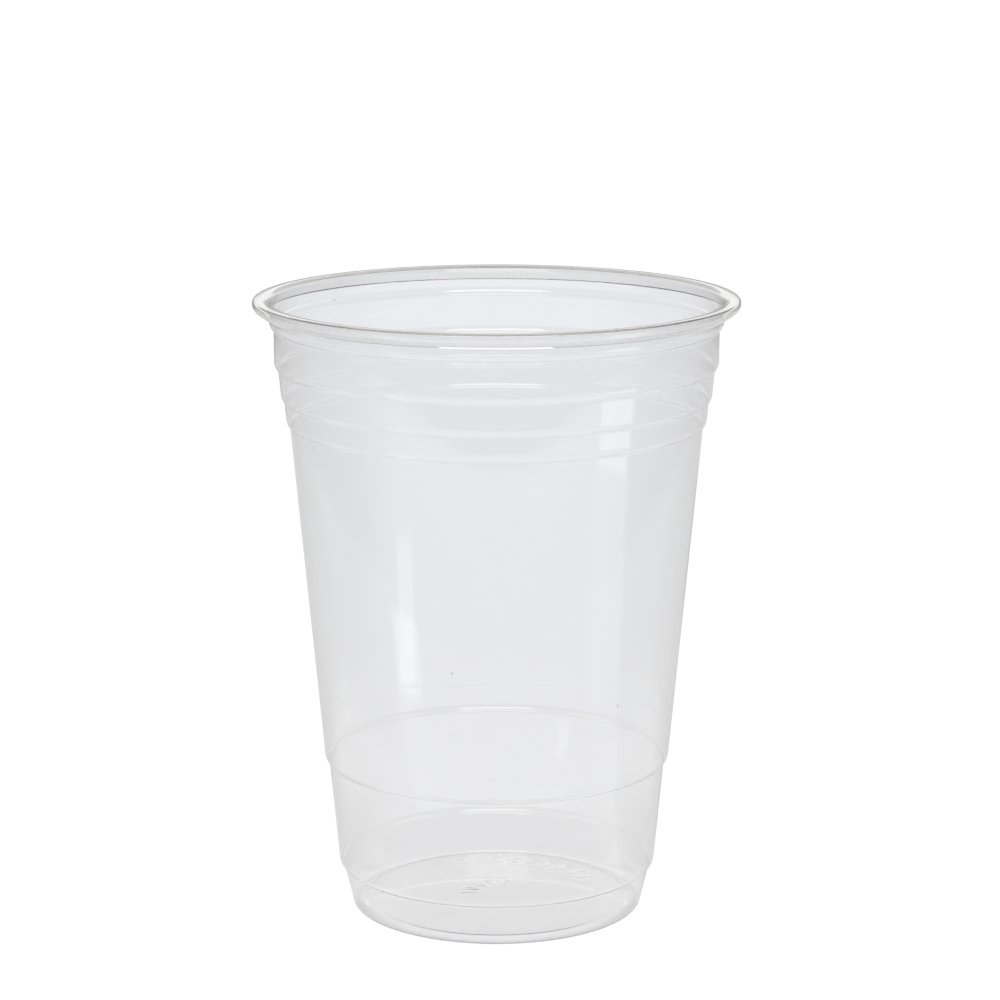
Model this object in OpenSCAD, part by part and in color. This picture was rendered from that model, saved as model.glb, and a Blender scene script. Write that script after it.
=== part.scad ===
// Clear disposable drinking cup, formed in one piece from a thin plastic sheet.
// The whole cup is one sheet in section: the outer face is drawn as a path from the middle of the
// base, up the wall and round the rolled rim to its cut edge, and the drink side lies one
// thickness to the left of it. The path is then turned about the cup's axis.

/* [Overall] */
// Outside diameter of the rolled rim, the size that lids are made to
rim_d = 98; // [90:0.5:110]
// Height from the table to the top of the rim
cup_h = 126.2; // [100:0.2:165]
// Outside diameter at the top of the foot
foot_d = 63.4; // [54:0.1:70]

/* [Sheet] */
// Thickness of the rim, the neck and the bands at the mouth
rim_t = 0.34; // [0.25:0.01:0.6]
// Thickness of the drawn wall from the grip step down to the standing ring
wall_t = 0.24; // [0.18:0.01:0.4]
// Thickness at the middle of the base, which thins out to the wall's at its edge
base_t = 0.4; // [0.25:0.01:0.7]

/* [Rolled rim] */
// Width of the roll, from the outside of the neck to the outside of the rim
roll_w = 3.3; // [2.6:0.05:4.2]
// Radius inside the fold at the mouth
fold_r = 0.6; // [0.2:0.01:0.9]
// Radius inside the roll at its upper outer corner
crown_r = 0.3; // [0.2:0.01:0.6]
// Straight height on the outside of the roll, where a lid's bead closes
seat_h = 0.25; // [0.2:0.05:1]
// Radius inside the roll at its lower outer corner
hook_r = 0.94; // [0.5:0.02:1.3]
// Angle of the roll's underside below the horizontal
hook_slope = 35; // [20:1:45]
// Gap between the cut edge of the roll and the neck
tip_gap = 1.1; // [0.4:0.05:1.4]

/* [Bands at the mouth] */
// Depth of the neck, from the top of the rim to the crease under its shoulder
neck_h = 6; // [5.6:0.1:9]
// Height of the straight band
band_h = 8.2; // [5:0.1:14]
// Height of the upper stacking ring
ring_1_h = 6.4; // [4:0.1:12]
// Height of the lower stacking ring
ring_2_h = 5.1; // [4:0.1:12]

/* [Steps] */
// Radius inside each shoulder, where the sheet turns in above a crease
shoulder_r = 1.64; // [1.2:0.02:2.4]
// Inward step under the neck
neck_step = 0.93; // [0.4:0.01:1.1]
// Inward step under the straight band
band_step = 0.8; // [0.4:0.01:1.1]
// Inward step under the upper stacking ring
ring_1_step = 0.54; // [0.3:0.01:1.1]
// Inward step under the lower stacking ring
ring_2_step = 0.62; // [0.3:0.01:1.1]
// Inward step at the bottom of the grip
grip_step = 0.73; // [0.3:0.01:1.1]
// Inward step above the foot
foot_step = 0.78; // [0.3:0.01:1.1]

/* [Grip and foot] */
// Height of the crease at the bottom of the grip
grip_z = 30.6; // [20:0.2:45]
// Height of the foot
foot_h = 8.3; // [6:0.1:12]
// Draft angle of the foot
foot_draft = 13.4; // [4:0.1:16]
// Radius inside the corner between the foot and the base
corner_r = 0.5; // [0.4:0.05:1.5]

/* [Base] */
// Width of the flat ring that the cup stands on
land_w = 1; // [0.6:0.1:2]
// Height of the raised panel above the table
panel_lift = 0.8; // [0.6:0.05:2.4]
// Slope of the wall between the standing ring and the panel
panel_slope = 45; // [30:1:50]
// Radius inside each bend at the edge of the panel
panel_r = 0.9; // [0.4:0.05:1.1]

/* [Hidden] */
$fn = 192;
// Straight pieces in each bend of the section
bend_steps = 6;

// Outer radius of each wall at the crease that it starts from, and the height of that crease
neck_r = rim_d/2 - roll_w;
band_z = cup_h - neck_h;
band_r = neck_r - neck_step;
ring_1_z = band_z - band_h;
ring_1_r = band_r - band_step;
ring_2_z = ring_1_z - ring_1_h;
grip_top_z = ring_2_z - ring_2_h;
foot_r = foot_d/2;
// One taper runs from the stacking rings down to the foot
taper = atan((ring_1_r - foot_r - ring_1_step - ring_2_step - grip_step - foot_step)
             / (ring_1_z - foot_h));
ring_2_r = ring_1_r - ring_1_h*tan(taper) - ring_1_step;
grip_top_r = ring_2_r - ring_2_h*tan(taper) - ring_2_step;
grip_r = grip_top_r - (grip_top_z - grip_z)*tan(taper) - grip_step;

// Outer bends of the base: the corner of the foot, and the two at the edge of the panel
corner_out_r = corner_r + wall_t;
land_out_r = foot_r + (sin(foot_draft)*(corner_out_r - foot_h) - corner_out_r)/cos(foot_draft);
land_in_r = land_out_r - land_w;
bend_out_r = panel_r + wall_t;
slope_l = (panel_lift - (panel_r + bend_out_r)*(1 - cos(panel_slope)))/sin(panel_slope);
bend_in_x = land_in_r - (bend_out_r + panel_r)*sin(panel_slope) - slope_l*cos(panel_slope);

// Inside of the roll: its highest level, its widest radius and the end of its lower bend
roll_top = cup_h - rim_t;
roll_r = rim_d/2 - rim_t;
hook_z = roll_top - crown_r - seat_h;
hook_end = hook_slope - 90;
tip_l = (roll_r - hook_r + hook_r*cos(hook_end) - neck_r - tip_gap)/cos(hook_slope);

// Points of an arc about c from angle a to angle b, each with the sheet's thickness there
function bend(c, r, a, b, t) =
    [for (i = [0:bend_steps])
        let (at = a + (b - a)*i/bend_steps)
        [c[0] + r*cos(at), c[1] + r*sin(at), t]];

// A shoulder: up from the crease at [r, z] and out to the wall above, whose draft is given
function shoulder(r, z, step, draft, t) =
    let (out_r = shoulder_r + t,
         inset = step*cos(draft),
         rise = sqrt(2*out_r*inset - inset*inset),
         c = [r, z] + rise*[sin(draft), cos(draft)] + (out_r - inset)*[-cos(draft), sin(draft)])
    bend(c, out_r, -draft - atan2(rise, out_r - inset), -draft, t);

// The path of the outer face: base, foot, wall and neck, then the inside of the roll
base_path = concat(
    [[0, panel_lift, base_t]],
    bend([bend_in_x, panel_lift - panel_r], panel_r, 90, 90 - panel_slope, wall_t),
    bend([land_in_r, bend_out_r], bend_out_r, -90 - panel_slope, -90, wall_t),
    bend([land_out_r, corner_out_r], corner_out_r, -90, -foot_draft, wall_t));
wall_path = concat(
    shoulder(foot_r, foot_h, foot_step, taper, wall_t),
    shoulder(grip_r, grip_z, grip_step, taper, wall_t),
    shoulder(grip_top_r, grip_top_z, ring_2_step, taper, rim_t),
    shoulder(ring_2_r, ring_2_z, ring_1_step, taper, rim_t),
    shoulder(ring_1_r, ring_1_z, band_step, 0, rim_t),
    shoulder(band_r, band_z, neck_step, 0, rim_t));
roll_path = concat(
    bend([neck_r + fold_r, roll_top - fold_r], fold_r, 180, 90, rim_t),
    bend([roll_r - crown_r, roll_top - crown_r], crown_r, 90, 0, rim_t),
    bend([roll_r - hook_r, hook_z], hook_r, 0, hook_end, rim_t),
    [[neck_r + tip_gap,
      hook_z + hook_r*sin(hook_end) - tip_l*sin(hook_slope),
      rim_t]]);

// Unit vector to the left of the way from a to b, which points to the drink side
function left_of(a, b) =
    let (d = [b[0] - a[0], b[1] - a[1]])
    [-d[1], d[0]]/norm(d);

// Point i of the path, moved across the sheet so that both stretches keep their thickness
function across(path, i) =
    let (last = len(path) - 1,
         before = left_of(path[max(i - 1, 0)], path[max(i, 1)]),
         after = left_of(path[min(i, last - 1)], path[min(i + 1, last)]))
    [path[i][0], path[i][1]] + path[i][2]*(before + after)/(1 + before*after);

// The sheet in section: the outer face one way and the drink side back
module sheet(path) {
    polygon(concat([for (p = path) [p[0], p[1]]],
                   [for (i = [len(path) - 1:-1:0]) across(path, i)]));
}

// The cup, with its rim rolled outwards and its base raised inside the standing ring
module cup() {
    color([0.9, 0.93, 0.95, 0.35])
    rotate_extrude()
    sheet(concat(base_path, wall_path, roll_path));
}

cup();
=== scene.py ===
"""Looks of a clear disposable cup: one thin formed sheet with a rolled rim, on a pale studio floor."""
import logging
import math
from dataclasses import dataclass, field
from enum import Enum
from typing import Union

import bpy
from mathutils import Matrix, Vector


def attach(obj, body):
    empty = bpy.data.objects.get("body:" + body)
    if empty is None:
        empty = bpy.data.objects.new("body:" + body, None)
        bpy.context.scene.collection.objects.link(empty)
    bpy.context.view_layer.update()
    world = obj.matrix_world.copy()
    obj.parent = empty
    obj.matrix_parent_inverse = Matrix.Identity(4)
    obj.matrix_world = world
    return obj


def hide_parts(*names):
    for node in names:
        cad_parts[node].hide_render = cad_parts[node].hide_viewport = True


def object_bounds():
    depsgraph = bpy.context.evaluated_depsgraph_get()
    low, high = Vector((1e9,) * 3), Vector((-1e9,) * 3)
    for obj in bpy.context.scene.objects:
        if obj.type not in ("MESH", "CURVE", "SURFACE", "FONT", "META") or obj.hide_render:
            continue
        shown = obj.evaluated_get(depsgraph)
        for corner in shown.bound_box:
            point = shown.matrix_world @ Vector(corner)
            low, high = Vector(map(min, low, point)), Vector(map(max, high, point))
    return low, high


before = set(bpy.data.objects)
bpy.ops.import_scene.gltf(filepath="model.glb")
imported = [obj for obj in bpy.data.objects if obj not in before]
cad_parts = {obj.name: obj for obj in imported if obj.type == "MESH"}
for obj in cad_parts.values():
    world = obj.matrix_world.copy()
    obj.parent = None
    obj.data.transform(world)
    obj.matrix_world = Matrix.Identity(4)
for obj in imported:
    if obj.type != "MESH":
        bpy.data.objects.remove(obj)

CAD_BOX = [list(corner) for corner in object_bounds()]
LOG = logging.getLogger("cup")
MM = 0.001
TURN = 2 * math.pi

Colour = tuple[float, float, float]
Number = Union[float, "Value"]
Place = tuple[float, float]


class RayKind(Enum):
    """What a ray that reaches the studio has done on its way."""

    # Diffuse rays count as straight, so the floor's lit share and the painted highlight bands on the creases
    # are lit by the white world.
    STRAIGHT = "seen straight or through the sheet, or lights a matt crease"
    BOUNCED = "reflected by the sheet"


class Value:
    """A number in a node tree, on which Python's operators add the tree's Math nodes."""

    def __init__(self, tree: "Tree", socket: bpy.types.NodeSocket) -> None:
        """Wraps an output socket of a tree."""
        self.tree = tree
        self.socket = socket

    def __add__(self, other: Number) -> "Value":
        """Returns self + other."""
        return self.tree.math("ADD", self, other)

    def __sub__(self, other: Number) -> "Value":
        """Returns self - other."""
        return self.tree.math("SUBTRACT", self, other)

    def __rsub__(self, other: Number) -> "Value":
        """Returns other - self."""
        return self.tree.math("SUBTRACT", other, self)

    def __mul__(self, other: Number) -> "Value":
        """Returns self * other."""
        return self.tree.math("MULTIPLY", self, other)

    def __truediv__(self, other: Number) -> "Value":
        """Returns self / other."""
        return self.tree.math("DIVIDE", self, other)

    def __gt__(self, other: Number) -> "Value":
        """Returns 1 where self is over other, and 0 elsewhere."""
        return self.tree.math("GREATER_THAN", self, other)

    def __lt__(self, other: Number) -> "Value":
        """Returns 1 where self is under other, and 0 elsewhere."""
        return self.tree.math("LESS_THAN", self, other)

    def __abs__(self) -> "Value":
        """Returns the size of self without its sign."""
        return self.tree.math("ABSOLUTE", self)

    __radd__ = __add__
    __rmul__ = __mul__

    def most(self, other: Number) -> "Value":
        """Returns the greater of self and other."""
        return self.tree.math("MAXIMUM", self, other)

    def rise(self, start: float, stop: float, low: float = 0.0, high: float = 1.0) -> "Value":
        """Smooth step of this number.

        Args:
            start: where the step starts.
            stop: where it ends.
            low: the value up to start.
            high: the value from stop on.

        Returns:
            The value of the step.
        """
        inputs = {0: self, 1: start, 2: stop, 3: low, 4: high}
        node = self.tree.node("ShaderNodeMapRange", {"interpolation_type": "SMOOTHSTEP"}, inputs)
        return Value(self.tree, node.outputs[0])

    def window(self, start: float, stop: float, soft: float) -> "Value":
        """Returns 1 from start to stop and 0 outside, with edges as wide as soft."""
        return self.rise(start - soft, start) * self.rise(stop, stop + soft, 1.0, 0.0)


class Tree:
    """A node tree, shader or geometry, and the one way in which nodes are added to it."""

    def __init__(self, tree: bpy.types.NodeTree) -> None:
        """Takes the tree that the nodes go into."""
        self.tree = tree

    def node(self, kind: str, settings: dict | None = None, inputs: dict | None = None) -> bpy.types.Node:
        """Adds a node.

        Args:
            kind: the node's type.
            settings: its properties by name, which are set first.
            inputs: values, sockets or Values for its inputs, by name or index.

        Returns:
            The node.
        """
        made = self.tree.nodes.new(kind)
        for name, setting in (settings or {}).items():
            setattr(made, name, setting)
        for key, given in (inputs or {}).items():
            self.feed(made.inputs[key], given)
        return made

    def feed(self, socket: bpy.types.NodeSocket, given: object) -> None:
        """Links a Value or an output socket to an input socket, or writes a plain value to it."""
        if isinstance(given, Value):
            self.tree.links.new(given.socket, socket)
        elif isinstance(given, bpy.types.NodeSocket):
            self.tree.links.new(given, socket)
        else:
            socket.default_value = given

    def value(self, kind: str, output: Union[str, int] = 0, settings: dict | None = None,
              inputs: dict | None = None) -> Value:
        """Adds a node and returns one of its outputs as a Value."""
        return Value(self, self.node(kind, settings, inputs).outputs[output])

    def math(self, operation: str, *numbers: Number) -> Value:
        """Adds a Math node on one to three numbers and returns its result."""
        return self.value("ShaderNodeMath", 0, {"operation": operation}, dict(enumerate(numbers)))

    def axes(self, vector: bpy.types.NodeSocket) -> tuple[Value, Value, Value]:
        """Returns the three parts of a vector."""
        parts = self.node("ShaderNodeSeparateXYZ", inputs={0: vector}).outputs
        return Value(self, parts[0]), Value(self, parts[1]), Value(self, parts[2])

    def named(self, geometry: bpy.types.NodeSocket, name: str, kind: str,
              given: object) -> bpy.types.NodeSocket:
        """Stores a value of that kind on the points of a geometry, by name, and returns the geometry."""
        inputs = {"Geometry": geometry, "Name": name, "Value": given}
        node = self.node("GeometryNodeStoreNamedAttribute", {"data_type": kind, "domain": "POINT"}, inputs)
        return node.outputs[0]

    def stored(self, name: str, kind: str) -> Value:
        """Returns a stored value of that kind by its name."""
        return self.value("GeometryNodeInputNamedAttribute", 0, {"data_type": kind}, {"Name": name})

    def mix_colours(self, share: Number, first: object, second: object) -> bpy.types.NodeSocket:
        """Returns a colour that goes from first to second as share goes from 0 to 1."""
        inputs = {"Factor": share, 6: first, 7: second}
        return self.node("ShaderNodeMix", {"data_type": "RGBA"}, inputs).outputs[2]

    def mix_shaders(self, share: Number, first: bpy.types.Node, second: bpy.types.Node) -> bpy.types.Node:
        """Returns a Mix Shader that goes from first to second as share goes from 0 to 1."""
        inputs = {0: share, 1: first.outputs[0], 2: second.outputs[0]}
        return self.node("ShaderNodeMixShader", inputs=inputs)

    def sees(self, kind: RayKind) -> Value:
        """Returns 1 for rays of that kind, and 0 for others."""
        path = self.node("ShaderNodeLightPath").outputs
        through = Value(self, path["Is Transmission Ray"]) * (Value(self, path["Glossy Depth"]) < 0.5)
        straight = Value(self, path["Is Camera Ray"]).most(through).most(Value(self, path["Is Diffuse Ray"]))
        return straight if kind is RayKind.STRAIGHT else 1 - straight


def rgba(colour: Colour) -> tuple[float, float, float, float]:
    """Returns an opaque colour as a node's socket takes it."""
    return (*colour, 1.0)


def shader_tree(owner: Union[bpy.types.Material, bpy.types.World]) -> Tree:
    """Empties the node tree of a material or a world and returns it."""
    owner.use_nodes = True
    owner.node_tree.nodes.clear()
    return Tree(owner.node_tree)


@dataclass(frozen=True)
class ClearPlastic:
    """Clear glossy sheet, which shows what is behind it and lets most of the lamp's light through.

    shade is the share of the lamp's light that passes. haze_start is the height of the waves, from 0 to 1,
    over which the roughness grows into haze. speck_size is a share of the cells that the specks lie in.
    The crease width is how far the painted highlight along a crease reaches above and below its middle, and
    the crease rise is how far that middle lies above the crease: a matt white band that stands in for its
    glint.
    """

    tint: Colour = (0.95, 0.95, 0.951)
    ior: float = 1.575
    roughness: float = 0.015
    shade: float = 0.93
    wave_scale: float = 25.0
    wave_depth: float = 0.02 * MM
    haze: float = 0.04
    haze_start: Place = (0.5, 0.75)
    speck_scale: float = 70.0
    speck_size: float = 0.03
    speck_tone: Colour = (0.45, 0.44, 0.43)
    # Colour of the painted highlight band along each crease.
    highlight_white: Colour = (0.93, 0.93, 0.92)
    crease_highlight_width: float = 0.26 * MM
    crease_highlight_rise: float = 0.1 * MM

    def material(self, creases: list[Place]) -> bpy.types.Material:
        """Builds the material.

        Args:
            creases: height in metres of each crease, and how strong the painted highlight along it is, a matt
                white band that stands in for its glint.

        Returns:
            The material.
        """
        made = bpy.data.materials.new("clear_plastic")
        tree = shader_tree(made)
        point = tree.node("ShaderNodeTexCoord").outputs["Object"]
        waves = tree.value("ShaderNodeTexNoise", "Fac", {"noise_dimensions": "3D"},
                           {"Vector": point, "Scale": self.wave_scale, "Detail": 1.0})
        uneven = tree.node("ShaderNodeBump", inputs={
            "Strength": 1.0, "Distance": self.wave_depth, "Height": waves})
        rough = waves.rise(*self.haze_start, self.roughness, self.haze)
        cells = tree.value("ShaderNodeTexVoronoi", "Distance", {"voronoi_dimensions": "3D"},
                           {"Vector": point, "Scale": self.speck_scale})
        specks = cells.rise(self.speck_size / 2, self.speck_size, 1.0, 0.0)
        colour = tree.mix_colours(specks, rgba(self.tint), rgba(self.speck_tone))
        sheet = tree.node("ShaderNodeBsdfPrincipled", inputs={
            "Base Color": colour, "IOR": self.ior, "Transmission Weight": 1.0,
            "Roughness": rough, "Normal": uneven.outputs[0]})
        lamp_light = tree.node("ShaderNodeBsdfTransparent", inputs={"Color": rgba((self.shade,) * 3)})
        shadow_ray = tree.value("ShaderNodeLightPath", "Is Shadow Ray")
        _, _, height = tree.axes(point)
        # Painted highlight: a matt white band just above each crease, mixed into the sheet, stands in for the
        # crease's glint.
        white: Number = 0.0
        for level, share in creases:
            steepness = share / self.crease_highlight_width
            crease = share - abs(height - (level + self.crease_highlight_rise)) * steepness
            white = crease.most(white)
        matt = tree.node("ShaderNodeBsdfDiffuse", inputs={"Color": rgba(self.highlight_white)})
        sheet = tree.mix_shaders(white, sheet, matt)
        surface = tree.mix_shaders(shadow_ray, sheet, lamp_light)
        tree.node("ShaderNodeOutputMaterial", inputs={"Surface": surface.outputs[0]})
        return made


@dataclass(frozen=True)
class SectionPoint:
    """A point of the sheet's outer face in section, with the sheet's thickness there, in millimetres."""

    radius: float
    height: float
    sheet: float

    def towards(self, other: "SectionPoint", share: float) -> "SectionPoint":
        """Returns the point that lies at a share of the way to another."""
        return SectionPoint(self.radius + (other.radius - self.radius) * share,
                            self.height + (other.height - self.height) * share,
                            self.sheet + (other.sheet - self.sheet) * share)

    def reach(self, other: "SectionPoint") -> float:
        """Returns the distance to another point."""
        return math.hypot(other.radius - self.radius, other.height - self.height)


@dataclass(frozen=True)
class MarkArc:
    """An arc of short bars pressed into the base.

    The radii are in millimetres, bars is how many would fill the whole circle, and the ends and their
    softness are in turns.
    """

    inner: float
    outer: float
    bars: float
    start: float
    stop: float
    soft: float = 0.005


@dataclass
class Cup:
    """The cup: one sheet, drawn in section and turned about the axis.

    Sizes are in millimetres and angles in degrees. edge_depth is the unevenness of the roll's cut edge, and
    edge_lift the share of it that is upwards. mark_rise is the height of the bars in the base, mark_bar the
    part of its pitch that a bar fills, mark_soft the softness of its sides, and mark_step the softness of
    its ends and the spacing of the mesh's rings there. The crease shares, from the foot up, set how strong
    the painted highlight along each crease is: a matt white band that stands in for its glint. crease_reach
    is how far from a crease its rounding starts, and support_reach how far from each end of a long stretch
    the mesh has a ring, so that the stretch shades flat.
    """

    rim_d: float = 98.0
    cup_h: float = 126.2
    foot_d: float = 63.4
    rim_t: float = 0.34
    wall_t: float = 0.24
    base_t: float = 0.4
    roll_w: float = 3.3
    fold_r: float = 0.6
    crown_r: float = 0.3
    crown_rise: float = 0.12
    seat_h: float = 0.25
    hook_r: float = 0.94
    hook_slope: float = 35.0
    tip_gap: float = 1.1
    neck_h: float = 6.0
    band_h: float = 8.2
    ring_1_h: float = 6.4
    ring_2_h: float = 5.1
    shoulder_r: float = 1.64
    neck_step: float = 0.93
    band_step: float = 0.8
    ring_1_step: float = 0.54
    ring_2_step: float = 0.62
    grip_step: float = 0.73
    foot_step: float = 0.78
    grip_z: float = 30.6
    foot_h: float = 8.3
    foot_draft: float = 13.4
    corner_r: float = 0.5
    land_w: float = 1.0
    panel_lift: float = 0.8
    panel_slope: float = 45.0
    panel_r: float = 0.9
    segments: int = 300
    bend_steps: int = 6
    edge_depth: float = 0.16
    edge_lift: float = 0.7
    edge_scale: float = 14.0
    edge_seed: float = 3.0
    sharp_angle: float = 60.0
    merge_gap: float = 0.0005
    mark_arcs: tuple[MarkArc, ...] = (MarkArc(4.2, 7.2, 12.0, 0.15, 0.52),
                                      MarkArc(19.6, 22.6, 34.0, 0.07, 0.32))
    mark_rise: float = 0.1
    mark_bar: Place = (0.3, 0.6)
    mark_soft: float = 0.14
    # How strong the painted highlight along each crease is, from the foot up.
    crease_highlight_shares: tuple[float, ...] = (0.07, 0.05, 0.1, 0.1, 0.08)
    mark_step: float = 0.3
    crease_reach: float = 0.23
    crease_steps: int = 3
    support_reach: float = 0.25
    finish: ClearPlastic = field(default_factory=ClearPlastic)

    def bend(self, centre: Place, radius: float, start: float, stop: float,
             sheet: float) -> list[SectionPoint]:
        """Points of an arc of the outer face.

        Args:
            centre: radius and height of the arc's centre.
            radius: the arc's own radius.
            start: the angle that it starts at, in degrees.
            stop: the angle that it ends at.
            sheet: the sheet's thickness along it.

        Returns:
            The points in order.
        """
        points = []
        for step in range(self.bend_steps + 1):
            angle = math.radians(start + (stop - start) * step / self.bend_steps)
            points.append(SectionPoint(centre[0] + radius * math.cos(angle),
                                       centre[1] + radius * math.sin(angle), sheet))
        return points

    def shoulder(self, radius: float, height: float, step: float, draft: float,
                 sheet: float) -> list[SectionPoint]:
        """Points of a shoulder, up from its crease and out to the wall above.

        Args:
            radius: radius of the crease.
            height: height of the crease.
            step: how far the wall above lies outside the crease.
            draft: that wall's draft angle in degrees.
            sheet: the sheet's thickness.

        Returns:
            The points from the crease up.
        """
        out_r = self.shoulder_r + sheet
        lean = math.radians(draft)
        inset = step * math.cos(lean)
        rise = math.sqrt(2 * out_r * inset - inset * inset)
        centre = (radius + rise * math.sin(lean) - (out_r - inset) * math.cos(lean),
                  height + rise * math.cos(lean) + (out_r - inset) * math.sin(lean))
        turned = math.degrees(math.atan2(rise, out_r - inset))
        return self.bend(centre, out_r, -draft - turned, -draft, sheet)

    def base_path(self) -> list[SectionPoint]:
        """Returns the outer face from the middle of the base to the foot's corner."""
        corner = self.corner_r + self.wall_t
        lean = math.radians(self.foot_draft)
        land_out = self.foot_d / 2 + (math.sin(lean) * (corner - self.foot_h) - corner) / math.cos(lean)
        land_in = land_out - self.land_w
        slope = math.radians(self.panel_slope)
        bend_out = self.panel_r + self.wall_t
        slope_l = (self.panel_lift - (self.panel_r + bend_out) * (1 - math.cos(slope))) / math.sin(slope)
        bend_in = land_in - (bend_out + self.panel_r) * math.sin(slope) - slope_l * math.cos(slope)
        return [SectionPoint(0.0, self.panel_lift, self.base_t),
                *self.bend((bend_in, self.panel_lift - self.panel_r), self.panel_r,
                           90.0, 90.0 - self.panel_slope, self.wall_t),
                *self.bend((land_in, bend_out), bend_out, -90.0 - self.panel_slope, -90.0, self.wall_t),
                *self.bend((land_out, corner), corner, -90.0, -self.foot_draft, self.wall_t)]

    def wall_path(self) -> list[list[SectionPoint]]:
        """Returns the shoulders of the outer face, from the foot's up to the neck's."""
        band_z = self.cup_h - self.neck_h
        band_r = self.rim_d / 2 - self.roll_w - self.neck_step
        ring_1_z = band_z - self.band_h
        ring_1_r = band_r - self.band_step
        ring_2_z = ring_1_z - self.ring_1_h
        grip_top_z = ring_2_z - self.ring_2_h
        foot_r = self.foot_d / 2
        steps = self.ring_1_step + self.ring_2_step + self.grip_step + self.foot_step
        slope = (ring_1_r - foot_r - steps) / (ring_1_z - self.foot_h)
        taper = math.degrees(math.atan(slope))
        ring_2_r = ring_1_r - self.ring_1_h * slope - self.ring_1_step
        grip_top_r = ring_2_r - self.ring_2_h * slope - self.ring_2_step
        grip_r = grip_top_r - (grip_top_z - self.grip_z) * slope - self.grip_step
        return [self.shoulder(foot_r, self.foot_h, self.foot_step, taper, self.wall_t),
                self.shoulder(grip_r, self.grip_z, self.grip_step, taper, self.wall_t),
                self.shoulder(grip_top_r, grip_top_z, self.ring_2_step, taper, self.rim_t),
                self.shoulder(ring_2_r, ring_2_z, self.ring_1_step, taper, self.rim_t),
                self.shoulder(ring_1_r, ring_1_z, self.band_step, 0.0, self.rim_t),
                self.shoulder(band_r, band_z, self.neck_step, 0.0, self.rim_t)]

    def roll_path(self) -> list[SectionPoint]:
        """Returns the inside of the roll, from the fold at the mouth over its crowned top to the cut edge."""
        neck_r = self.rim_d / 2 - self.roll_w
        top = self.cup_h - self.rim_t
        roll_r = self.rim_d / 2 - self.rim_t
        fold_r = neck_r + self.fold_r
        crown_r = roll_r - self.crown_r
        half = (crown_r - fold_r) / 2
        arch_r = (half * half + self.crown_rise ** 2) / (2 * self.crown_rise)
        tilt = math.degrees(math.asin(half / arch_r))
        arch_top = top - self.crown_rise
        hook_z = top - self.crown_r - self.seat_h
        slope = math.radians(self.hook_slope)
        end_r = roll_r - self.hook_r + self.hook_r * math.sin(slope)
        end_z = hook_z - self.hook_r * math.cos(slope)
        tip_l = (end_r - neck_r - self.tip_gap) / math.cos(slope)
        arcs = [((fold_r, arch_top - self.fold_r), self.fold_r, 180.0, 90.0 + tilt),
                ((fold_r + half, top - arch_r), arch_r, 90.0 + tilt / 2, 90.0 - tilt / 2),
                ((crown_r, top - self.crown_r), self.crown_r, 90.0 - tilt, 0.0),
                ((roll_r - self.hook_r, hook_z), self.hook_r, 0.0, self.hook_slope - 90.0)]
        path = [point for arc in arcs for point in self.bend(*arc, self.rim_t)]
        return [*path, SectionPoint(neck_r + self.tip_gap, end_z - tip_l * math.sin(slope), self.rim_t)]

    def softened(self, before: SectionPoint, crease: SectionPoint,
                 after: SectionPoint) -> list[SectionPoint]:
        """Rounds a crease a little.

        Args:
            before: the point below the crease.
            crease: the crease itself.
            after: the point above it.

        Returns:
            The points that take the crease's place.
        """
        first = crease.towards(before, self.crease_reach / crease.reach(before))
        last = crease.towards(after, self.crease_reach / crease.reach(after))
        points = []
        for step in range(self.crease_steps + 1):
            share = step / self.crease_steps
            points.append(first.towards(crease, share).towards(crease.towards(last, share), share))
        return points

    def mark_rings(self, middle: SectionPoint, edge: SectionPoint) -> list[SectionPoint]:
        """Returns closely set points across the arcs of marks, between the base's middle and its edge."""
        points = []
        for arc in self.mark_arcs:
            start, stop = arc.inner - self.mark_step, arc.outer + self.mark_step
            steps = math.ceil((arc.outer - arc.inner) / self.mark_step) + 2  # one more beyond each end
            for step in range(steps + 1):
                radius = start + (stop - start) * step / steps
                points.append(middle.towards(edge, radius / edge.radius))
        return points

    def supported(self, path: list[SectionPoint]) -> list[SectionPoint]:
        """Returns the path with a point near both ends of each long stretch, so that it shades flat."""
        points = [path[0]]
        for first, second in zip(path, path[1:]):
            length = first.reach(second)
            if length > 4 * self.support_reach:
                points.append(first.towards(second, self.support_reach / length))
                points.append(first.towards(second, 1 - self.support_reach / length))
            points.append(second)
        return points

    def outer_path(self) -> list[SectionPoint]:
        """Returns the whole outer face: base, foot, wall and neck, then the inside of the roll."""
        path = self.base_path()
        for rise in self.wall_path():
            path += self.softened(path[-1], rise[0], rise[1])
            path += rise[1:]
        path += self.roll_path()
        return self.supported([path[0], *self.mark_rings(path[0], path[1]), *path[1:]])

    def inner_path(self, path: list[SectionPoint]) -> list[Place]:
        """Returns the drink side: each point moved across the sheet, so that it keeps its thickness."""
        normals = []
        for first, second in zip(path, path[1:]):
            length = first.reach(second)
            normals.append(((first.height - second.height) / length,
                            (second.radius - first.radius) / length))
        moved = []
        for index, point in enumerate(path):
            before = normals[max(index - 1, 0)]
            after = normals[min(index, len(normals) - 1)]
            share = point.sheet / (1 + before[0] * after[0] + before[1] * after[1])
            moved.append((point.radius + share * (before[0] + after[0]),
                          point.height + share * (before[1] + after[1])))
        return moved

    def section(self) -> bpy.types.Object:
        """Returns the section as a line in the XZ plane, up the outer face and back down the inner one."""
        path = self.outer_path()
        line = [(point.radius, point.height) for point in path] + self.inner_path(path)[::-1]
        mesh = bpy.data.meshes.new("cup_sheet")
        points = [(radius * MM, 0.0, height * MM) for radius, height in line]
        mesh.from_pydata(points, [(index, index + 1) for index in range(len(points) - 1)], [])
        cut = mesh.attributes.new("cut_edge", "FLOAT", "POINT")
        cut.data[len(path) - 1].value = 1.0
        cut.data[len(path)].value = 1.0
        made = bpy.data.objects.new("cup_sheet", mesh)
        bpy.context.scene.collection.objects.link(made)
        return made

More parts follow.
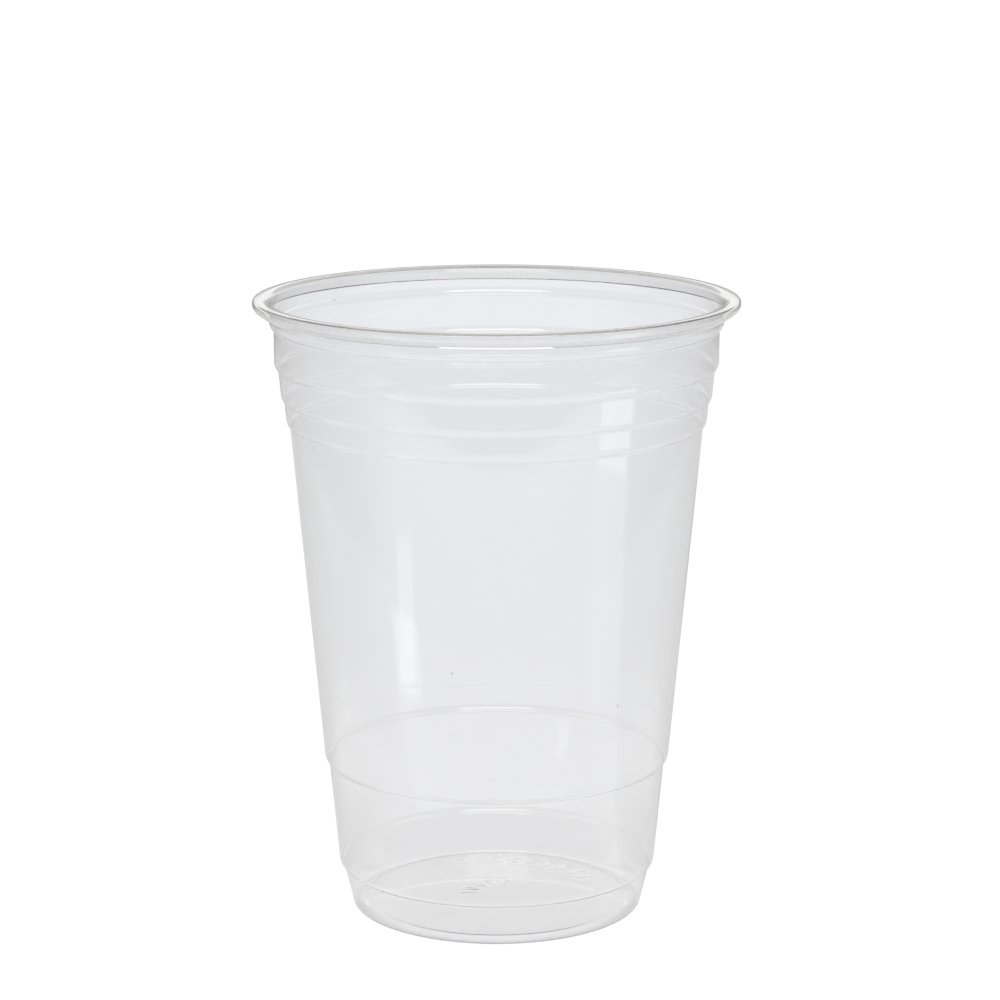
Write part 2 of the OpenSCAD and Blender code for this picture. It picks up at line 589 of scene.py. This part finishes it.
    def marks(self, tree: Tree, radius: Value, turn: Value) -> Value:
        """Plain marks pressed into the base: arcs of short bars near its middle and near its edge.

        Args:
            tree: the geometry tree.
            radius: distance from the axis, in metres.
            turn: angle round the axis, in radians.

        Returns:
            1 on a mark and 0 beside it.
        """
        total: Number = 0.0
        for arc in self.mark_arcs:
            bars = tree.math("FRACT", turn * (arc.bars / TURN)).window(*self.mark_bar, self.mark_soft)
            mark = bars * radius.window(arc.inner * MM, arc.outer * MM, self.mark_step * MM)
            mark = mark * (turn / TURN).window(arc.start, arc.stop, arc.soft)
            total = mark.most(total)
        return total

    def creases(self) -> list[Place]:
        """Returns each crease's height in metres and how strong its painted highlight is, from the foot to
        the straight band.
        """
        return [(rise[0].height * MM, share) for rise, share in zip(self.wall_path(), self.crease_highlight_shares)]

    def turning(self, material: bpy.types.Material) -> bpy.types.NodeTree:
        """Builds the tree that turns the section about the cup's axis.

        Args:
            material: the sheet's material.

        Returns:
            The node group, whose inputs are named after what they set.
        """
        group = bpy.data.node_groups.new("turned_sheet", "GeometryNodeTree")
        kinds = {"Geometry": "Geometry", "Segments": "Int", "Edge unevenness": "Float", "Seed": "Float"}
        for name, kind in kinds.items():
            group.interface.new_socket(name, in_out="INPUT", socket_type=f"NodeSocket{kind}")
        group.interface.new_socket("Geometry", in_out="OUTPUT", socket_type="NodeSocketGeometry")
        tree = Tree(group)
        given = tree.node("NodeGroupInput").outputs
        place = tree.node("GeometryNodeInputPosition").outputs[0]
        section = tree.node("GeometryNodeMeshToCurve", inputs={"Mesh": given["Geometry"]}).outputs[0]
        section = tree.named(section, "section", "FLOAT_VECTOR", place)
        ring = tree.node("GeometryNodeCurvePrimitiveCircle", inputs={
            "Resolution": given["Segments"], "Radius": 1.0}).outputs[0]
        share = tree.value("GeometryNodeInputIndex") / Value(tree, given["Segments"])
        ring = tree.named(ring, "turn", "FLOAT", share)
        sheet = tree.node("GeometryNodeCurveToMesh", inputs={
            "Curve": ring, "Profile Curve": section}).outputs[0]
        radius, _, height = tree.axes(tree.stored("section", "FLOAT_VECTOR").socket)
        turn = tree.stored("turn", "FLOAT") * TURN
        cut = tree.stored("cut_edge", "FLOAT")
        across = tree.math("COSINE", turn)
        along = tree.math("SINE", turn)
        around = tree.node("ShaderNodeCombineXYZ", inputs={0: across, 1: along}).outputs[0]
        ragged = tree.value("ShaderNodeTexNoise", 0, {"noise_dimensions": "4D"}, {
            "Vector": around, "W": given["Seed"], "Scale": self.edge_scale, "Detail": 4.0, "Roughness": 0.7})
        shift = cut * (ragged - 0.5) * Value(tree, given["Edge unevenness"])
        in_base = height < 2 * self.panel_lift * MM
        raised = self.marks(tree, radius, turn) * in_base
        radius = radius + shift
        height = height + shift * self.edge_lift + raised * (self.mark_rise * MM)
        turned = tree.node("ShaderNodeCombineXYZ", inputs={
            0: radius * across, 1: radius * along, 2: height}).outputs[0]
        sheet = tree.node("GeometryNodeSetPosition", inputs={
            "Geometry": sheet, "Position": turned}).outputs[0]
        sheet = tree.node("GeometryNodeMergeByDistance", inputs={
            "Geometry": sheet, "Distance": self.merge_gap * MM}).outputs[0]
        sheet = tree.node("GeometryNodeFlipFaces", inputs={0: sheet}).outputs[0]
        corner = tree.value("GeometryNodeInputMeshEdgeAngle") > math.radians(self.sharp_angle)
        sheet = tree.node("GeometryNodeSetShadeSmooth", {"domain": "FACE"}, {
            "Geometry": sheet, "Shade Smooth": True}).outputs[0]
        sheet = tree.node("GeometryNodeSetShadeSmooth", {"domain": "EDGE"}, {
            "Geometry": sheet, "Selection": corner, "Shade Smooth": False}).outputs[0]
        sheet = tree.node("GeometryNodeRealizeInstances", inputs={"Geometry": sheet}).outputs[0]
        sheet = tree.node("GeometryNodeSetMaterial", inputs={
            "Geometry": sheet, "Material": material}).outputs[0]
        tree.node("NodeGroupOutput", inputs={"Geometry": sheet})
        return group

    def build(self) -> bpy.types.Object:
        """Builds the cup's mesh, dresses it and returns its object."""
        made = self.section()
        group = self.turning(self.finish.material(self.creases()))
        modifier = made.modifiers.new("turned_sheet", "NODES")
        modifier.node_group = group
        settings = {"Segments": self.segments, "Edge unevenness": self.edge_depth * MM,
                    "Seed": self.edge_seed}
        for item in group.interface.items_tree:
            if item.in_out == "INPUT" and item.name in settings:
                modifier[item.identifier] = settings[item.name]
        graph = bpy.context.evaluated_depsgraph_get()
        solid = bpy.data.meshes.new_from_object(made.evaluated_get(graph), depsgraph=graph)
        made.modifiers.clear()
        made.data = solid
        for name in ("section", "turn", "cut_edge"):
            if name in solid.attributes:
                solid.attributes.remove(solid.attributes[name])
        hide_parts("cup")
        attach(made, "root")
        LOG.info("%s: %d points, %d faces", made.name, len(solid.vertices), len(solid.polygons))
        return made


@dataclass(frozen=True)
class FloorGlow:
    """A bright stretch of the floor that the sheet reflects, in degrees and metres from the cup's axis."""

    azimuth: float
    spread: float
    near: float
    far: float
    radiance: float
    soft_angle: float = 2.0
    soft_reach: float = 0.01

    def share(self, azimuth: Value, reach: Value) -> Value:
        """Returns 1 on the stretch and 0 off it, for a point of the floor in polar form."""
        start, stop = math.radians(self.azimuth - self.spread), math.radians(self.azimuth + self.spread)
        across = azimuth.window(start, stop, math.radians(self.soft_angle))
        return across * reach.window(self.near, self.far, self.soft_reach)


@dataclass
class Studio:
    """The white set: its floor, its walls of light and its lamp.

    Sizes are in metres. On the floor, a reach is a distance from the cup's axis, and floor_turn is the
    azimuth in degrees, left or right of the camera's side, over which the front turns into the rear. In the
    world, horizon_reach, backdrop_rise and world_top are sines of elevation, and world_turn is how far a
    direction points away from the camera, from -1 to 1.
    """

    floor_size: float = 14.0
    floor_drop: float = 0.02 * MM
    white: Colour = (1.0, 1.0, 1.0)
    far: Colour = (0.85, 0.858, 0.885)
    near: Colour = (0.838, 0.84, 0.852)
    far_reach: Place = (0.1, 0.6)
    backdrop: Colour = (1.0, 1.0, 1.0)
    backdrop_rise: Place = (-0.02, 0.12)
    ceiling: Colour = (0.34, 0.32, 0.3)
    rear: Colour = (0.45, 0.435, 0.42)
    horizon: Colour = (1.05, 1.05, 1.05)
    horizon_reach: Place = (0.14, 0.23)
    horizon_soft: float = 0.03
    rear_far: Colour = (0.42, 0.4, 0.385)
    rear_far_reach: Place = (0.66, 0.85)
    rear_floor: Colour = (0.7, 0.7, 0.7)
    # Painted pool of light: the floor under the base is white where it is seen through the sheet.
    under: Colour = (1.0, 1.005, 1.02)
    under_reach: Place = (0.024, 0.034)
    front: Colour = (0.25, 0.24, 0.235)
    world_turn: Place = (-0.3, 0.4)
    world_top: Place = (0.45, 0.7)
    floor_turn: Place = (50.0, 95.0)
    contact_shading_turn: Place = (-0.02, 0.02)
    front_floor: Colour = (0.95, 0.95, 0.96)
    front_near: Colour = (1.12, 1.12, 1.12)
    rear_near: Colour = (0.74, 0.73, 0.73)
    near_reach: Place = (0.055, 0.23)
    glows: tuple[FloorGlow, ...] = (FloorGlow(-51.5, 3.5, 0.165, 0.234, 1.5, 2.0, 0.03),
                                    FloorGlow(64.0, 8.0, 0.3, 0.6, 1.75, 3.0, 0.01),
                                    FloorGlow(64.0, 9.0, 0.05, 0.3, 1.15, 4.0),
                                    FloorGlow(-98.0, 8.0, 0.11, 0.14, 0.92, 22.0, 0.04),
                                    FloorGlow(98.0, 8.0, 0.11, 0.14, 0.92, 22.0, 0.04))
    # Painted shade just in front of the foot and painted light just behind it, on the floor as the sheet
    # reflects it.
    contact_shading_reach: Place = (0.0315, 0.034)
    contact_shade_front: Colour = (0.55, 0.55, 0.56)
    contact_light_rear: Colour = (1.0, 1.0, 1.0)
    lit_share: float = 0.12
    lit_reach: Place = (0.1, 0.5)
    glow_strength: float = 1.04
    key_radiance: float = 1.9
    key_size: Place = (1.5, 1.05)
    key_distance: float = 2.0
    key_azimuth: float = 0.0
    key_elevation: float = 55.0
    light_bounces: int = 64

    def world(self) -> None:
        """Sets the world: white where it is seen, and a pale set round a dim front where it is reflected."""
        made = bpy.data.worlds.new("studio")
        bpy.context.scene.world = made
        tree = shader_tree(made)
        _, depth, height = tree.axes(tree.node("ShaderNodeTexCoord").outputs["Generated"])
        camera = tree.value("ShaderNodeLightPath", "Is Camera Ray")
        through = tree.mix_colours(height.rise(*self.backdrop_rise), rgba(self.far), rgba(self.backdrop))
        seen = tree.mix_colours(camera, through, rgba(self.white))
        behind = tree.mix_colours(height.window(*self.horizon_reach, self.horizon_soft), rgba(self.rear),
                                  rgba(self.horizon))
        around = tree.mix_colours(depth.rise(*self.world_turn), rgba(self.front), behind)
        bounced = tree.mix_colours(height.rise(*self.world_top), around, rgba(self.ceiling))
        colour = tree.mix_colours(tree.sees(RayKind.BOUNCED), seen, bounced)
        light = tree.node("ShaderNodeBackground", inputs={"Color": colour, "Strength": 1.0})
        tree.node("ShaderNodeOutputWorld", inputs={"Surface": light.outputs[0]})

    def floor_material(self) -> bpy.types.Material:
        """Builds the floor's material: white where it is seen, with the cup's shadow in its lit share, and a
        painted pool of light under the base where it is seen through the sheet. For reflected rays it glows
        in a set pattern, with painted shade and painted light round the foot.
        """
        made = bpy.data.materials.new("studio_floor")
        tree = shader_tree(made)
        point = tree.node("ShaderNodeTexCoord").outputs["Object"]
        side, depth, _ = tree.axes(point)
        reach = tree.math("SQRT", side * side + depth * depth)
        camera = tree.value("ShaderNodeLightPath", "Is Camera Ray")
        through = tree.mix_colours(reach.rise(*self.far_reach), rgba(self.near), rgba(self.far))
        # Painted pool of light on the floor under the base, for rays that pass through the sheet.
        through = tree.mix_colours(reach.rise(*self.under_reach), rgba(self.under), through)
        seen = tree.mix_colours(camera, through, rgba(self.white))
        glow = tree.node("ShaderNodeEmission", inputs={"Color": seen, "Strength": self.glow_strength})
        lit = tree.node("ShaderNodeBsdfDiffuse", inputs={"Color": seen})
        shaded = reach.rise(*self.lit_reach, self.lit_share, 0.0)
        straight = tree.mix_shaders(shaded, glow, lit)
        azimuth = tree.math("ARCTAN2", side, 0.0 - depth)
        further = reach.rise(*self.near_reach)
        ahead = tree.mix_colours(further, rgba(self.front_near), rgba(self.front_floor))
        behind = tree.mix_colours(further, rgba(self.rear_near), rgba(self.rear_floor))
        behind = tree.mix_colours(reach.rise(*self.rear_far_reach), behind, rgba(self.rear_far))
        aside, astern = (math.radians(angle) for angle in self.floor_turn)
        colour = tree.mix_colours(abs(azimuth).rise(aside, astern), ahead, behind)
        # Painted shade and painted light round the foot: for reflected rays the floor is darker just in front
        # of it and white just behind it.
        contact_shading = tree.mix_colours(depth.rise(*self.contact_shading_turn), rgba(self.contact_shade_front),
                                   rgba(self.contact_light_rear))
        colour = tree.mix_colours(reach.rise(*self.contact_shading_reach), contact_shading, colour)
        for patch in self.glows:
            bright = rgba((patch.radiance,) * 3)
            colour = tree.mix_colours(patch.share(azimuth, reach), colour, bright)
        bounced = tree.node("ShaderNodeEmission", inputs={"Color": colour})
        surface = tree.mix_shaders(tree.sees(RayKind.STRAIGHT), bounced, straight)
        tree.node("ShaderNodeOutputMaterial", inputs={"Surface": surface.outputs[0]})
        return made

    def floor(self) -> bpy.types.Object:
        """Lays the floor under the cup and returns it."""
        half = self.floor_size / 2
        mesh = bpy.data.meshes.new("studio_floor")
        corners = [(-half, -half), (half, -half), (half, half), (-half, half)]
        mesh.from_pydata([(x, y, -self.floor_drop) for x, y in corners], [], [(0, 1, 2, 3)])
        mesh.materials.append(self.floor_material())
        made = bpy.data.objects.new("studio_floor", mesh)
        bpy.context.scene.collection.objects.link(made)
        return made

    def softbox(self, name: str, size: Place, radiance: float, distance: float, azimuth: float,
                elevation: float) -> bpy.types.Object:
        """Hangs a softbox that faces the middle of the cup.

        Args:
            name: the lamp's name.
            size: its width and height.
            radiance: how bright its face is, where 1 is white.
            distance: how far from the cup it hangs.
            azimuth: its direction, in degrees from the camera's side towards the right.
            elevation: its height above the horizon, in degrees.

        Returns:
            The lamp's object.
        """
        lamp = bpy.data.lights.new(name, "AREA")
        lamp.shape = "RECTANGLE"
        lamp.size, lamp.size_y = size
        lamp.energy = radiance * math.pi * size[0] * size[1]
        made = bpy.data.objects.new(name, lamp)
        side, up = math.radians(azimuth), math.radians(elevation)
        middle = (CAD_BOX[0][2] + CAD_BOX[1][2]) / 2
        made.location = (distance * math.cos(up) * math.sin(side),
                         -distance * math.cos(up) * math.cos(side),
                         middle + distance * math.sin(up))
        made.rotation_euler = (math.pi / 2 - up, 0.0, side)
        made.visible_camera = False
        bpy.context.scene.collection.objects.link(made)
        return made

    def build(self) -> None:
        """Sets up the whole studio."""
        self.world()
        self.floor()
        self.softbox("key_softbox", self.key_size, self.key_radiance, self.key_distance,
                     self.key_azimuth, self.key_elevation)
        scene = bpy.context.scene
        scene.view_settings.view_transform = "Standard"
        for limit in ("max_bounces", "transmission_bounces", "glossy_bounces", "transparent_max_bounces"):
            setattr(scene.cycles, limit, self.light_bounces)
        LOG.info("studio: floor, world and softbox")


@dataclass
class PhotoCamera:
    """The camera at the photograph's viewing angle: metres, degrees, and millimetres for the lens."""

    place: tuple[float, float, float] = (0.00068, -0.6471, 0.22063)
    pitch: float = 11.877
    lens: float = 117.05
    sensor: float = 36.0
    clip_start: float = 0.01

    def build(self) -> bpy.types.Object:
        """Places the camera, makes it the scene's and returns it."""
        lens = bpy.data.cameras.new("photo_camera")
        lens.lens = self.lens
        lens.sensor_width = self.sensor
        lens.clip_start = self.clip_start
        made = bpy.data.objects.new("photo_camera", lens)
        made.location = self.place
        made.rotation_euler = (math.radians(90.0 - self.pitch), 0.0, 0.0)
        bpy.context.scene.collection.objects.link(made)
        bpy.context.scene.camera = made
        LOG.info("%s: %.0f mm lens, %.1f degrees down", made.name, self.lens, self.pitch)
        return made


def main() -> None:
    """Builds the camera, the studio and the cup."""
    logging.basicConfig(level=logging.INFO, format="%(name)s: %(message)s")
    PhotoCamera().build()
    Studio().build()
    Cup().build()


if __name__ == "__main__":
    main()
